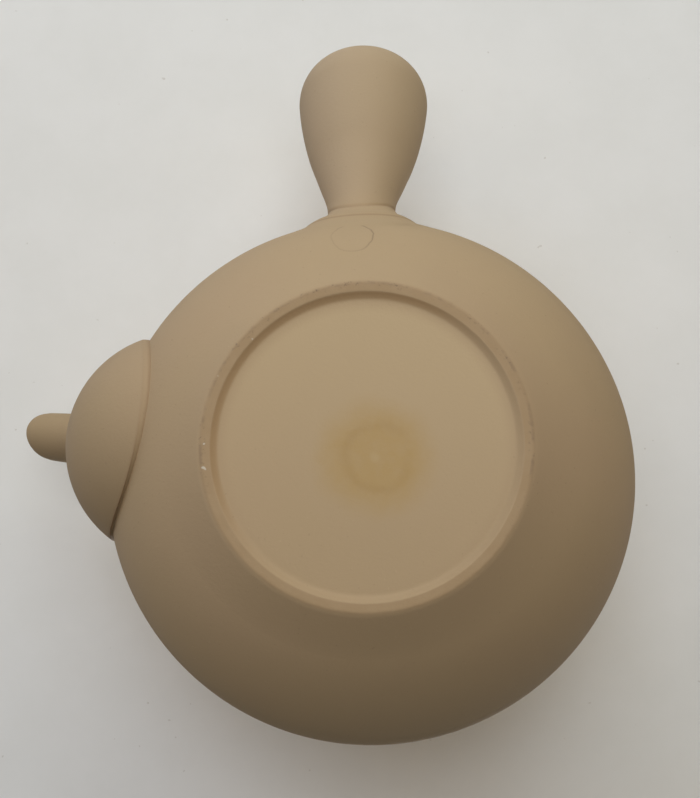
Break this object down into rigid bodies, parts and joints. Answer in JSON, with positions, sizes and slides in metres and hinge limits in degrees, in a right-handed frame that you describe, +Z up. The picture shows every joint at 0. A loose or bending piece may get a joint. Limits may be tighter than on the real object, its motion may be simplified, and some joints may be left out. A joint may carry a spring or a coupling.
{
  "type": "kyusu teapot",
  "caption": "Round stoneware teapot with a hollow side handle, a ball spout with a short nozzle, a pierced strainer and a lift-off lid with a knob.",
  "frame": {"origin": "middle of the bounding box, on the surface that the foot ring stands on", "axes": "+Z up along the axis of the turned body; the spout points along -X; the handle points along -Y, turned 8 degrees towards the spout"},
  "size_m": [0.1408, 0.162, 0.0878],
  "materials": {
    "clay": "unglazed, smooth, matt",
    "clay_foot": "unglazed, worn and slightly rough"
  },
  "bodies": {
    "pot": {"body": "clay", "foot_ring": "clay_foot", "spout_bulb": "clay", "spout_nozzle": "clay", "strainer": "clay", "handle": "clay"},
    "lid": {"lid": "clay", "lid_knob": "clay"}
  },
  "joints": [
    {"name": "lid_lift", "type": "slide", "parent": "pot", "child": "lid", "axis": [0, 0, 1], "range_m": [0, 0.06]}
  ]
}
